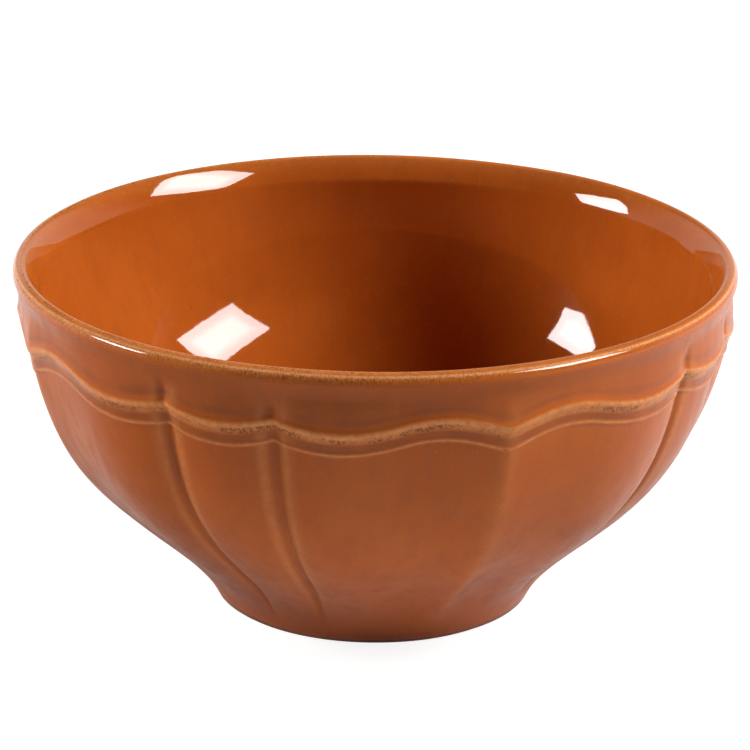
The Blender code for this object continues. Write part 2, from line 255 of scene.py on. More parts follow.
class BandForm(bpy.types.PropertyGroup):
    """Sizes of the waved double bead and of the flutes below it."""

    bead_drop: length("Bead Drop", "Upper bead below the top of the lip", 0.0114)
    collar_swell: length("Collar Swell", "Swell of the collar at the upper bead", 0.00060)
    swell_round: length("Swell Round", "Rounding of the swell's edge", 0.00050)
    upper_rise: length("Upper Rise", "Height of the upper bead on that swell", 0.00034)
    upper_reach: length("Upper Reach", "Half width of the upper bead", 0.00095)
    spacing: length("Spacing", "Lower bead below the upper one", 0.0044)
    lower_rise: length("Lower Rise", "Height of the lower bead", 0.00024)
    lower_reach: length("Lower Reach", "Half width of the lower bead", 0.00045)
    repeats: bpy.props.IntProperty(
        name="Repeats", description="Braces round the bowl", default=4, min=2, max=12,
    )
    scallop_width: length("Scallop Width", "Narrow panel between two grooves", 0.0239)
    wave_rise: length("Wave Rise", "Half the height of the wave", 0.0014)
    brace_turn: share("Brace Turn", "Where the arch turns to the sag, in parts of half a brace", 0.485)
    brace_point: share("Brace Point", "Depth of the upper bead's point on a brace", 0.95)
    groove_point: share("Groove Point", "Height of the upper bead's point at a groove", 0.35)
    scallop_dip: share("Scallop Dip", "Dip of the upper bead over the narrow panel", 1.2)
    lower_brace_point: share("Lower Brace Point", "Depth of the lower bead's point on a brace", 1.2)
    lower_groove_point: share("Lower Groove Point", "Height of the lower bead's point at a groove", 0.15)
    lower_scallop_dip: share("Lower Scallop Dip", "Dip of the lower bead over the narrow panel", 1.2)
    cusp_soft: turn("Cusp Softening", "Rounding of the wave's points by the glaze", 0.75)
    flute_swell: length("Flute Swell", "Swell of the panels", 0.00060)
    groove_depth: length("Groove Depth", "Depth of the cut grooves", 0.00045)
    groove_width: turn("Groove Width", "Half width of the cut grooves", 0.80)
    valley_depth: length("Valley Depth", "Depth of the soft valley that a groove lies in", 0.00060)
    valley_width: turn("Valley Width", "Width over which that valley rises", 1.9)
    ridge_rise: length("Ridge Rise", "Height of the ridge below a brace's point", 0.00035)
    ridge_width: turn("Ridge Width", "Width over which that ridge falls", 2.6)
    flute_start: length("Flute Start", "Height at which the flutes begin", 0.0030)
    flute_full: length("Flute Full", "Height at which the flutes reach their depth", 0.0190)
    wave_fade: length("Wave Fade", "Depth below the beads at which the wave dies out", 0.0240)
    collar_share: share("Collar Share", "Depth of the flutes at the upper bead", 0.7)
    wander: length("Wander", "Unevenness of a wall finished by hand", 0.00004)


class GlazeLook(bpy.types.PropertyGroup):
    """Colours of the glaze and of the clay."""

    ground: colour("Ground", "Glaze of full thickness", (0.372, 0.077, 0.0080))
    ground_warm: colour("Warm Ground", "Lighter clouds in the glaze", (0.414, 0.091, 0.0108))
    # Also the colour of the painted highlight on the lips of the grooves
    thin_and_highlight: colour("Thin", "Glaze that breaks over an edge", (0.650, 0.250, 0.075))
    # Also the colour of painted shade on the collar under the lip and in the strip between the beads
    pool: colour("Pool", "Glaze that gathers in a hollow", (0.180, 0.050, 0.018))
    speck: colour("Speck", "Burnt specks along the edges", (0.130, 0.034, 0.004))
    clay: colour("Clay", "Bare fired clay", (0.420, 0.220, 0.120))
    clay_dark: colour("Dark Clay", "Iron grains and kiln marks in the clay", (0.240, 0.110, 0.055))
    # The lip's crest line: worn glaze and a painted highlight
    edge: colour("Edge", "Glaze worn thin on the crest of the lip", (0.740, 0.330, 0.140))
    gloss: share("Inner Roughness", "Roughness of the glaze inside and on the lip", 0.035)
    matt: share("Outer Roughness", "Roughness of the glaze outside", 0.29)
    outer_shine: share("Outer Shine", "Specular level of the glaze outside, where glass has 0.5", 0.29)


class StudioSetup(bpy.types.PropertyGroup):
    """Camera, lamps and floor; their turns are clockwise from straight behind, as the camera sees it."""

    camera_turn: turn("Camera Turn", "Turn of the whole studio round the bowl, about +Z", -20.7)
    camera_rise: turn("Camera Rise", "Height of the camera over the horizon", 20.59)
    camera_roll: turn("Camera Roll", "Roll of the camera", 0.55)
    camera_distance: length("Camera Distance", "From the middle of the bowl", 0.741)
    camera_aim: length("Camera Aim", "Height of the point that is looked at", 0.03645)
    aim_up: length("Aim Up", "Shift of that point up the picture", 0.01033)
    aim_right: length("Aim Right", "Shift of that point to the right of the picture", 0.00014)
    lens: bpy.props.FloatProperty(
        name="Lens", description="Focal length", default=166.01, unit="CAMERA", subtype="DISTANCE_CAMERA",
    )
    key_turn: turn("Key Turn", "Place of the key lamp", 90.0)
    key_rise: turn("Key Rise", "Height of the key lamp", 38.0)
    key_level: share("Key Level", "Light of the key lamp, one renders a colour as it is written", 1.60)
    fill_turn: turn("Fill Turn", "Place of the fill lamp", -78.0)
    fill_rise: turn("Fill Rise", "Height of the fill lamp", 24.0)
    fill_level: share("Fill Level", "Light of the fill lamp, one renders a colour as it is written", 1.30)
    box_level: bpy.props.FloatProperty(
        name="Box Level", description="Brightness of the boxes in the glaze", default=24.0,
    )
    sweep_turn: turn("Sweep Turn", "Brightest side of the horizon", 60.0)
    floor_turn: turn("Floor Turn", "Brightest side of the mirrored floor", 20.0)
    horizon_turn: turn("Horizon Turn", "Middle of the pale wall", -6.0)
    floor: colour("Floor", "Pale floor", (0.80, 0.80, 0.80))


# Curves


def bell(value, middle, width):
    """Bell curve: exp of minus the square of (value - middle) / width."""
    return np.exp(-(((value - middle) / width) ** 2))


def smooth_step(value, low, high):
    """Zero below low, one above high, a smooth cubic between."""
    t = np.clip((value - low) / (high - low), 0.0, 1.0)
    return t * t * (3.0 - 2.0 * t)


def rising(value, start, full):
    """Smooth step between two lines in millimetres."""
    return smooth_step(value, start * MM, full * MM)


def window(value, start, full, fading, end):
    """One from full to fading, zero before start and after end, smooth between; lines in millimetres."""
    return rising(value, start, full) * (1.0 - rising(value, fading, end))


# Section of the bowl


def lean_way(lean):
    """Direction (radius, height) straight up, leaning outwards by an angle."""
    return np.array([math.sin(lean), math.cos(lean)])


def eased(start, start_way, end, end_way):
    """Hermite cubic between two points that leaves and arrives along the given directions."""
    t = np.linspace(0.0, 1.0, CURVE_SAMPLES)[:, None]
    reach = np.linalg.norm(end - start)
    curve = (2 * t**3 - 3 * t**2 + 1) * start + (3 * t**2 - 2 * t**3) * end
    return curve + reach * ((t**3 - 2 * t**2 + t) * start_way + (t**3 - t**2) * end_way)


def arc(centre, radius, first, last):
    """Arc of a section: centre plus radius times (cos, sin) of an angle from straight outwards."""
    angle = np.linspace(first, last, CURVE_SAMPLES)
    return centre + radius * np.stack([np.cos(angle), np.sin(angle)], axis=1)


def collar_top(bowl):
    """Point (radius, height) where the collar meets the hollow under the lip."""
    return np.array([
        bowl.rim_diameter / 2 - bowl.lip_overhang,
        bowl.height - 2 * bowl.lip_radius - bowl.cove_height,
    ])


def outer_wall(bowl):
    """Cubic Bezier curve from the foot, leaning out, up to the collar, almost upright."""
    top = collar_top(bowl)
    foot = np.array([bowl.foot_diameter / 2, 0.0])
    foot_handle = foot + bowl.foot_pull * lean_way(bowl.foot_lean)
    top_handle = top - bowl.collar_pull * lean_way(bowl.collar_lean)
    t = np.linspace(0.0, 1.0, CURVE_SAMPLES)[:, None]
    s = 1.0 - t
    return s**3 * foot + 3 * s * s * t * foot_handle + 3 * s * t * t * top_handle + t**3 * top


def even(points):
    """The same polyline with points at even steps of SECTION_STEP along it."""
    run = np.concatenate([[0.0], np.cumsum(np.linalg.norm(np.diff(points, axis=0), axis=1))])
    keep = np.concatenate([[True], np.diff(run) > 0.0])
    station = np.linspace(0.0, run[-1], int(run[-1] / SECTION_STEP))
    return np.stack([np.interp(station, run[keep], points[keep, axis]) for axis in (0, 1)], axis=1)


def softened(points, radius):
    """Polyline averaged along its length with a bell of the given half width, its ends held."""
    reach = int(4 * radius / SECTION_STEP)
    weight = bell(np.arange(-reach, reach + 1) * SECTION_STEP, 0.0, math.sqrt(2.0) * radius)
    head = 2 * points[:1] - points[reach:0:-1]
    tail = 2 * points[-1:] - points[-2:-reach - 2:-1]
    padded = np.vstack([head, points, tail])
    return np.stack([np.convolve(column, weight / weight.sum(), "valid") for column in padded.T], axis=1)


def coat_section(bowl, foot):
    """Section over the glaze: floor, inner wall, bevel, lip, collar and outer wall to the glaze line."""
    wall = outer_wall(bowl)
    belly = len(wall) // 2
    along = wall[belly + 1] - wall[belly - 1]
    along /= np.linalg.norm(along)
    belly_point = wall[belly] + bowl.belly_thickness * np.array([-along[1], along[0]])
    floor_height = foot.well_depth + bowl.floor_thickness
    flat_edge = np.array([bowl.floor_flat, floor_height])
    lip, edge = bowl.lip_radius, bowl.lip_edge_radius
    lip_top = np.array([bowl.rim_diameter / 2 - lip, bowl.height])
    edge_centre = lip_top - [0.0, edge]
    top_lean, foot_lean = bowl.bevel_top_lean, bowl.bevel_foot_lean
    round_radius = bowl.bevel_height / (math.sin(top_lean) - math.sin(foot_lean))
    lip_way = np.array([-math.cos(top_lean), math.sin(top_lean)])
    round_centre = edge_centre + (edge - round_radius) * lip_way
    bevel = arc(round_centre, round_radius, math.pi - foot_lean, math.pi - top_lean)
    points = np.vstack([
        [[0.0, floor_height]],
        eased(flat_edge, np.array([1.0, 0.0]), belly_point, along),
        eased(belly_point, along, bevel[0], lean_way(bowl.collar_lean)),
        bevel,
        arc(edge_centre, edge, math.pi - top_lean, math.pi / 2),
        arc(lip_top - [0.0, lip], lip, math.pi / 2, -bowl.lip_tuck),
        wall[wall[:, 1] > foot.glaze_line][::-1],
    ])
    section = softened(even(points), bowl.softening)
    section[0, 0] = 0.0
    return section


def section_ways(points):
    """Unit directions along a section and square to it, away from the clay, at each point."""
    along = np.gradient(points, axis=0)
    along /= np.linalg.norm(along, axis=1)[:, None]
    return along, np.stack([-along[:, 1], along[:, 0]], axis=1)


def ring_radii(bowl, foot):
    """Outer and inner radius of the bare ring at the table."""
    depth = foot.glaze_thickness + foot.glaze_clearance
    outer = bowl.foot_diameter / 2 - depth / math.cos(bowl.foot_lean)
    return outer, outer - foot.ring_width


def foot_section(bowl, foot):
    """Bare ring: a quarter round, the flat standing face and another quarter round."""
    outer, inner = ring_radii(bowl, foot)
    edge = foot.edge_radius
    outside = arc(np.array([outer - edge, edge]), edge, bowl.foot_lean * -0.5, -math.pi / 2)[::RING_STRIDE]
    well_side = -math.pi + foot.well_lean * 0.5
    inside = arc(np.array([inner + edge, edge]), edge, -math.pi / 2, well_side)[::RING_STRIDE]
    return np.vstack([outside, [[outer - edge, 0.0], [inner + edge, 0.0]], inside])


def well_section(bowl, foot, depth):
    """Glazed well, from its side over a round corner to the middle, moved into the clay by a depth."""
    _, inner = ring_radii(bowl, foot)
    full = foot.glaze_thickness + foot.glaze_clearance
    lean = foot.well_lean
    side_height = foot.well_depth - foot.well_line
    corner_share = 1.0 - math.sin(lean)
    corner = min(foot.well_corner, CORNER_LIMIT * side_height / corner_share)
    side_foot = inner - full / math.cos(lean) - foot.well_line * math.tan(lean)
    side_top = side_foot - (side_height - corner * corner_share) * math.tan(lean)
    centre = np.array([side_top - corner * math.cos(lean), foot.well_depth - corner])
    flat = np.linspace(centre[0], 0.0, WELL_RINGS + 1)[1:]
    curve = np.vstack([
        [[side_foot, foot.well_line]],
        arc(centre, corner, lean, math.pi / 2)[::WELL_STRIDE],
        np.stack([flat, np.full(WELL_RINGS, foot.well_depth)], axis=1),
    ])
    _, outwards = section_ways(curve)
    moved = curve - depth * outwards
    moved[-1, 0] = 0.0
    return moved


# Wave, beads and flutes


def away_from_point(angle, band):
    """Angle from the point of the nearest brace, at most half a repeat."""
    half = math.pi / band.repeats
    return np.abs((angle + half) % (2 * half) - half)


def groove_angle(bowl, band):
    """Angle between the point of a brace and the groove beside it."""
    return math.pi / band.repeats - band.scallop_width / bowl.rim_diameter


def lobe(u, point):
    """Arch that starts at a sharp point below zero, peaks at one and is back at zero at u = 1."""
    span = math.pi - math.asin(point / (1.0 + point))
    return (1.0 + point) * np.sin(span * u) - point


def wave(angle, bowl, band, brace_point, groove_point, scallop_dip):
    """Bead line round the bowl: an arch and a sag make half a brace, then a scallop; points rounded.

    The sharp line is worked out on one repeat, and each of its harmonics is damped by a bell.
    """
    half = math.pi / band.repeats
    groove = groove_angle(bowl, band)
    turning = band.brace_turn * groove
    grid = np.arange(WAVE_SAMPLES) * (2 * half / WAVE_SAMPLES)
    away = away_from_point(grid, band)
    arch = lobe(away / turning, brace_point)
    sag = -lobe((groove - away) / (groove - turning), groove_point)
    scallop = groove_point - scallop_dip * np.sin((away - groove) / (half - groove) * math.pi / 2)
    sharp = np.select([away <= turning, away <= groove], [arch, sag], scallop)
    harmonic = np.arange(WAVE_SAMPLES // 2 + 1) * band.repeats
    smooth = np.fft.irfft(np.fft.rfft(sharp) * np.exp(-0.5 * (harmonic * band.cusp_soft) ** 2), WAVE_SAMPLES)
    return np.interp(angle % (2 * half), grid, smooth, period=2 * half)


def upper_wave(angle, bowl, band):
    """Line of the upper bead."""
    return wave(angle, bowl, band, band.brace_point, band.groove_point, band.scallop_dip)


def lower_wave(angle, bowl, band):
    """Line of the lower bead."""
    return wave(angle, bowl, band, band.lower_brace_point, band.lower_groove_point, band.lower_scallop_dip)


def crease(angle, width, tip):
    """Crease that is one on a line and falls off to both sides: exp of minus |angle| / width, tip rounded."""
    return np.exp(-(np.sqrt(angle**2 + tip**2) - tip) / width)


def flute_relief(angle, bowl, band):
    """Swell of the wall: out where the bead dips, in where it arches, creased at ridges and grooves."""
    swell = -band.flute_swell * upper_wave(angle, bowl, band)
    away = away_from_point(angle, band)
    from_groove = away - groove_angle(bowl, band)
    ridge = band.ridge_rise * crease(away, band.ridge_width, band.cusp_soft)
    valley = band.valley_depth * crease(from_groove, band.valley_width, band.groove_width)
    return swell + ridge - valley - band.groove_depth * bell(from_groove, 0.0, band.groove_width)


def gathered(angle):
    """Share of the height of the glaze below the bevel, round the bowl: a bell for each drop."""
    total = np.zeros(len(angle))
    for middle, half_length, height in DROPS:
        away = (angle - math.radians(middle) + math.pi) % (2 * math.pi) - math.pi
        total += height * bell(away, 0.0, math.radians(half_length))
    return total


def bead_rise(below, collar_run, band):
    """Height of the band at a distance below the upper bead: a swell of two slopes and two bells."""
    swell = np.interp(below, [-collar_run, 0.0, band.spacing + band.lower_reach], [0.0, 1.0, 0.0])
    swell = softened(swell[:, None], band.swell_round)[:, 0]
    upper = band.upper_rise * bell(below, 0.0, band.upper_reach)
    lower = band.lower_rise * bell(below, band.spacing, band.lower_reach)
    return band.collar_swell * swell + upper + lower


def wander(angle, run, band):
    """Slow unevenness: a sum of sines that run round the bowl and along its section."""
    rng = np.random.default_rng(WANDER_SEED)
    total = np.zeros(np.broadcast_shapes(angle.shape, run.shape))
    for turns in WANDER_TURNS:
        pace, phase = rng.uniform(*WANDER_PACE), rng.uniform(0.0, 2 * math.pi)
        total += np.sin(turns * angle + pace * run + phase) / math.sqrt(turns)
    return band.wander * total


def column_angles(bowl, band):
    """Angles of the columns, closer together at the points of the braces and at the grooves."""
    fine = np.linspace(0.0, 2 * math.pi, COLUMN_SAMPLES * COLUMNS + 1)
    away = away_from_point(fine, band)
    near_groove = bell(away, groove_angle(bowl, band), GROOVE_SPREAD * band.groove_width)
    density = 1.0 + GROOVE_CROWD * near_groove + POINT_CROWD * bell(away, 0.0, POINT_SPREAD)
    run = np.concatenate([[0.0], np.cumsum((density[1:] + density[:-1]) / 2)])
    return np.interp(np.arange(COLUMNS) * run[-1] / COLUMNS, run, fine)


class Coat:
    """The glaze's section with its stations: run from the lip, distance below the bead and shares."""

    def __init__(self, bowl, foot, band):
        """Work out the section and, at each of its points, the share of every form: steps and bells."""
        self.bowl, self.band = bowl, band
        self.points = coat_section(bowl, foot)
        self.along, self.outwards = section_ways(self.points)
        step = np.linalg.norm(np.diff(self.points, axis=0), axis=1)
        run = np.concatenate([[0.0], np.cumsum(step)])
        apex = np.argmax(self.points[:, 1])
        self.run = run - run[apex]
        outside = self.run > 0.0
        bead = bowl.height - band.bead_drop
        line = np.interp(-bead, -self.points[outside, 1], self.run[outside])
        self.below = np.where(outside, self.run - line, -1.0)
        collar = collar_top(bowl)[1]
        collar_run = line - np.interp(-collar, -self.points[outside, 1], self.run[outside])
        self.rise = bead_rise(self.below, collar_run, band)
        height = self.points[:, 1]
        band_top, band_foot = bead + 2 * band.upper_reach, bead - band.spacing - 2 * band.lower_reach
        fade = smooth_step(height, band_foot - band.wave_fade, band_foot)
        self.follow = outside * fade * (1.0 - smooth_step(height, band_top, collar))
        grown = smooth_step(height, band.flute_start, band.flute_full)
        kept = 1.0 - (1.0 - band.collar_share) * smooth_step(height, band_foot, bead)
        ended = smooth_step(height, bead + FLUTE_FADE, collar + FLUTE_END)
        self.flute = outside * grown * kept * (1.0 - ended)
        self.lower = outside * np.clip(self.below / band.spacing, 0.0, 1.0)
        edge_height = bowl.lip_edge_radius * (1.0 - math.sin(bowl.bevel_top_lean))
        bevel_foot = bowl.height - edge_height - bowl.bevel_height
        self.bevel_run = np.interp(bevel_foot, height[~outside], self.run[~outside]) - bowl.drop_reach / 2
        self.drop = ~outside * bowl.drop_rise * bell(self.run, self.bevel_run, bowl.drop_reach)

    def stations(self):
        """Rows of faces: indices into the section, close together at the lip and over the beads."""
        away = np.abs(self.run)
        inner = INNER_ROW + INNER_GROWTH * rising(away, *INNER_STRETCH)
        inner *= 1.0 - BEVEL_CROWD * bell(self.run, self.bevel_run, BEVEL_SPREAD)
        outer = OUTER_ROW + COLLAR_GROWTH * rising(away, *COLLAR_STRETCH)
        beads = window(self.below, *BEAD_STRETCH)
        outer = outer * (1.0 - beads) + BEAD_ROW * beads
        outer += WALL_GROWTH * rising(self.below, *WALL_STRETCH)
        spacing = np.where(self.run < 0.0, inner, outer) * MM
        count = np.concatenate([[0.0], np.cumsum(SECTION_STEP / spacing[1:])])
        rows = np.searchsorted(count, np.arange(0.0, count[-1], count[-1] / round(count[-1])))
        return np.unique(np.append(rows, len(self.points) - 1))

    def surface(self, rows, angle, depth):
        """Points of the coat at some rows and all angles, moved into the clay by a depth.

        Each is the section's point, moved along the wall by the wave and out by bead, flute and wander.
        """
        band = self.band
        upper, lower = upper_wave(angle, self.bowl, band), lower_wave(angle, self.bowl, band)
        mix = self.lower[rows][:, None]
        slide = -band.wave_rise * (upper * (1.0 - mix) + lower * mix) * self.follow[rows][:, None]
        proud = self.rise[rows][:, None] + flute_relief(angle, self.bowl, band) * self.flute[rows][:, None]
        proud = proud + self.drop[rows][:, None] * gathered(angle)
        off_axis = smooth_step(self.points[rows, 0][:, None], 0.0, WANDER_FULL)
        proud = proud + wander(angle, self.run[rows][:, None], band) * off_axis - depth
        place = self.points[rows][:, None] + slide[..., None] * self.along[rows][:, None]
        return turned(place + proud[..., None] * self.outwards[rows][:, None], angle)


def greatest(*grids):
    """Greatest of several grids at each place."""
    return np.maximum.reduce(np.broadcast_arrays(*grids))


def coat_marks(coat, rows, angle):
    """How the glaze breaks, gathers, streaks and specks, and where shade and highlights are painted: bells
    and windows across its section.
    """
    bowl, band = coat.bowl, coat.band
    run, below = coat.run[rows][:, None], coat.below[rows][:, None]
    flute = coat.flute[rows][:, None]
    outside = run > 0.0
    spacing = band.spacing / MM
    away = away_from_point(angle, band)
    from_groove = (away - groove_angle(bowl, band)) / band.groove_width
    crest = window(below, *CREST) * (1.0 - CREST_FALL * rising(below, *CREST_FADE))
    thin_and_highlight = greatest(
        THIN_AND_HIGHLIGHT_SHARES["lip"] * window(run, *LIP_THIN),
        THIN_AND_HIGHLIGHT_SHARES["crest"] * outside * crest,
        THIN_AND_HIGHLIGHT_SHARES["lower"] * outside * bell(below, band.spacing, LOWER_BREAK_WIDTH),
        # Painted highlight on the lips of each groove, in the colour of glaze that breaks over an edge
        THIN_AND_HIGHLIGHT_SHARES["groove"] * flute * bell(np.abs(from_groove), *GROOVE_LIP_HIGHLIGHTS),
        THIN_AND_HIGHLIGHT_SHARES["ridge"] * flute * bell(away, 0.0, RIDGE_BREAK_WIDTH),
    )
    # Painted shade on the collar, where the lip would shade it, down to the upper bead
    collar = rising(run, *SHADE_UNDER_LIP) * (1.0 - rising(below, *COLLAR_SHADE_END))
    pool = greatest(
        POOL_AND_SHADE_SHARES["hollow"] * outside * bell(below, *HOLLOW),
        # Strip between the beads: glaze gathered in the channel, and painted shade under the upper bead
        POOL_AND_SHADE_SHARES["strip"] * outside * window(below, *STRIP_START, spacing - STRIP_END, spacing),
        # Painted shade on the collar under the lip
        POOL_AND_SHADE_SHARES["collar"] * outside * collar,
        POOL_AND_SHADE_SHARES["groove"] * flute * bell(from_groove, 0.0, GROOVE_POOL_WIDTH),
    )
    worn = WORN_LEAST + (1.0 - WORN_LEAST) * smooth_step(np.cos(angle - WORN_SIDE), *WORN_STRETCH)
    fringe = greatest(outside * window(run, *LIP_FRINGE), FRINGE_TOP * window(run, *LIP_TOP)) * worn
    at_groove = GROOVE_SPECKS * bell(from_groove, 0.0, GROOVE_SPECK_WIDTH)
    cusp = greatest(bell(away, 0.0, POINT_SPECK_WIDTH), at_groove)
    lower_specks = LOWER_SPECKS * bell(below, band.spacing + LOWER_SPECK_SHIFT, LOWER_SPECK_WIDTH) * cusp
    marks = {
        "thin_and_highlight": thin_and_highlight,
        # Line on the lip's crest: worn glaze and a painted highlight
        "edge": bell(run, LIP_LINE * MM, EDGE_WIDTH),
        "pool": pool,
        "fringe": fringe,
        "speck": outside * greatest(window(below, *SPECKED), lower_specks),
        "inside": 1.0 - rising(run, *GLOSS_END),
    }
    shape = np.broadcast_shapes(run.shape, angle.shape)
    return {name: np.broadcast_to(value, shape) for name, value in marks.items()}


# Meshes


def turned(place, angle):
    """Points (radius, height) of a grid, each turned round the axis by its column's angle."""
    return np.stack([place[..., 0] * np.cos(angle), place[..., 0] * np.sin(angle), place[..., 1]], axis=-1)


def ringed(section, angle):
    """Points of a plain section (radius, height), repeated at every angle."""
    return turned(np.broadcast_to(section[:, None], (len(section), len(angle), 2)), angle)


def shell_mesh(name, points):
    """Closed mesh of a grid whose first and last rows each lie in one point on the axis.

    Rows run along the section and columns round the bowl, so each face looks along row x column.
    """
    rows, columns = points.shape[0] - 2, points.shape[1]
    corners = np.vstack([points[0, :1], points[1:-1].reshape(-1, 3), points[-1, :1]])
    here = 1 + np.arange(rows * columns).reshape(rows, columns)
    beside = np.roll(here, -1, axis=1)
    first = np.stack([np.zeros(columns, int), here[0], beside[0]], axis=-1)
    quads = np.stack([here[:-1], here[1:], beside[1:], beside[:-1]], axis=-1).reshape(-1, 4)
    last = np.stack([np.full(columns, len(corners) - 1), beside[-1], here[-1]], axis=-1)
    mesh = bpy.data.meshes.new(name)
    mesh.from_pydata(corners.tolist(), [], first.tolist() + quads.tolist() + last.tolist())
    if mesh.validate():
        raise RuntimeError(name + " has faces that don't close")
    mesh.shade_smooth()
    return mesh


def mark(mesh, name, grid):
    """Store a value for each corner of a shell as an attribute, from a grid like the shell's."""
    values = np.concatenate([grid[0, :1], grid[1:-1].ravel(), grid[-1, :1]])
    mesh.attributes.new(name, "FLOAT", "POINT").data.foreach_set("value", values.astype(np.float32))


def add_piece(name, points, material, node):
    """Put a closed grid of points into the scene as a piece that stands for a node of the frame."""
    mesh = shell_mesh(name, points)
    mesh.materials.append(material)
    piece = bpy.data.objects.new(name, mesh)
    bpy.context.scene.collection.objects.link(piece)
    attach(piece, BODY)
    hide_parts(node)
    return piece


# Materials


def add_node(tree, kind, inputs=None, **settings):
    """New shader node; an input is given a value, or a link where a socket is given."""
    made = tree.nodes.new(kind)
    for name, value in settings.items():
        setattr(made, name, value)
    for name, value in (inputs or {}).items():
        if isinstance(value, bpy.types.NodeSocket):
            tree.links.new(value, made.inputs[name])
        else:
            made.inputs[name].default_value = value
    return made


def blend(tree, factor, under, over):
    """Colour over another by a factor; each colour is a link or red, green and blue."""
    made = [value if isinstance(value, bpy.types.NodeSocket) else (*value, 1.0) for value in (under, over)]
    inputs = {0: factor, 6: made[0], 7: made[1]}
    return add_node(tree, "ShaderNodeMix", inputs, data_type="RGBA").outputs[2]


def ramp(tree, value, low, high, to_low=0.0, to_high=1.0):
    """Value mapped from low..high to another range by a smooth step."""
    made = add_node(
        tree, "ShaderNodeMapRange",
        {"Value": value, "From Min": low, "From Max": high, "To Min": to_low, "To Max": to_high},
        interpolation_type="SMOOTHSTEP",
    )
    return made.outputs["Result"]


def calc(tree, operation, first, second):
    """Result of a calculation with two values."""
    return add_node(tree, "ShaderNodeMath", {0: first, 1: second}, operation=operation).outputs[0]


def times(tree, first, second):
    """Product of two values."""
    return calc(tree, "MULTIPLY", first, second)


def plus(tree, first, second):
    """Sum of two values."""
    return calc(tree, "ADD", first, second)


def vector_calc(tree, operation, *vectors):
    """Node that works on one vector or two."""
    return add_node(tree, "ShaderNodeVectorMath", dict(enumerate(vectors)), operation=operation)


def noise(tree, coords, scale, detail=2.0, stretch=(1.0, 1.0, 1.0)):
    """Noise of a fineness per metre, drawn out along an axis by a stretch below one."""
    if stretch != (1.0, 1.0, 1.0):
        coords = add_node(tree, "ShaderNodeMapping", {"Vector": coords, "Scale": stretch}).outputs[0]
    made = add_node(tree, "ShaderNodeTexNoise", {"Vector": coords, "Scale": scale, "Detail": detail})
    return made.outputs["Fac"]


def attribute(tree, name):
    """Value that the piece's mesh holds under a name."""
    return add_node(tree, "ShaderNodeAttribute", attribute_name=name).outputs["Fac"]


def new_material(name):
    """New material with its node tree, its shader and its object coordinates."""
    material = bpy.data.materials.new(name)
    material.use_nodes = True
    tree = material.node_tree
    shader = tree.nodes["Principled BSDF"]
    coords = add_node(tree, "ShaderNodeTexCoord").outputs["Object"]
    return material, tree, shader, coords


def glaze_ground(tree, coords, look, flow):
    """Colour of the plain glaze: warm clouds, darker runs and pale grains, darker still where it pools and
    where shade is painted.
    """
    clouds = ramp(tree, noise(tree, coords, CLOUDS, 4.0), 0.36, 0.64)
    body = blend(tree, clouds, look.ground, look.ground_warm)
    body = blend(tree, ramp(tree, flow, 0.45, 0.75, 0.0, 0.14), body, look.pool)
    grain = noise(tree, coords, GRAIN, 3.0)
    body = blend(tree, ramp(tree, grain, 0.55, 0.80, 0.0, 0.14), body, look.thin_and_highlight)
    patches = ramp(tree, noise(tree, coords, PATCHES, 3.0), 0.30, 0.70, 0.35, 1.0)
    # Glaze gathered in hollows, and painted shade under the lip and the upper bead, in patches
    pooled_and_shaded = times(tree, attribute(tree, "pool"), patches)
    return blend(tree, pooled_and_shaded, body, look.pool)


def lip_runs(tree, body, streaks, clusters, look):
    """Colour with the fringe under the lip: tan runs, dark gaps between them and a line on the crest, worn
    glaze and painted highlight.
    """
    fringe = attribute(tree, "fringe")
    runs = times(tree, fringe, ramp(tree, streaks, 0.0, 1.0, 0.12, 0.62))
    body = blend(tree, runs, body, look.thin_and_highlight)
    clustered = times(tree, fringe, clusters)
    gaps = times(tree, clustered, ramp(tree, streaks, 0.0, 0.6, 0.72, 0.0))
    body = blend(tree, gaps, body, look.speck)
    # Line on the lip's crest, worn glaze and a painted highlight, made ragged by the streaks
    worn = times(tree, attribute(tree, "edge"), ramp(tree, streaks, 0.0, 0.7, 0.40, 1.0))
    return blend(tree, worn, body, look.edge)


def burnt_specks(tree, body, coords, clusters, look):
    """Colour with specks in clusters along the beads, and a few pinholes anywhere."""
    specks = noise(tree, coords, SPECKS, 3.0, (1.0, 1.0, 0.8))
    specks = plus(tree, specks, ramp(tree, clusters, 0.10, 1.0, -0.12, 0.03))
    specks = plus(tree, specks, ramp(tree, attribute(tree, "speck"), 0.0, 1.0, -0.50, 0.03))
    body = blend(tree, ramp(tree, specks, 0.46, 0.62, 0.0, 0.70), body, look.speck)
    cells = add_node(tree, "ShaderNodeTexVoronoi", {"Vector": coords, "Scale": PINHOLES})
    chance = add_node(tree, "ShaderNodeSeparateColor", {0: cells.outputs["Color"]}).outputs[0]
    hole = ramp(tree, cells.outputs["Distance"], 0.014, 0.028, 0.60, 0.0)
    return blend(tree, times(tree, ramp(tree, chance, 0.90, 0.92), hole), body, look.speck)


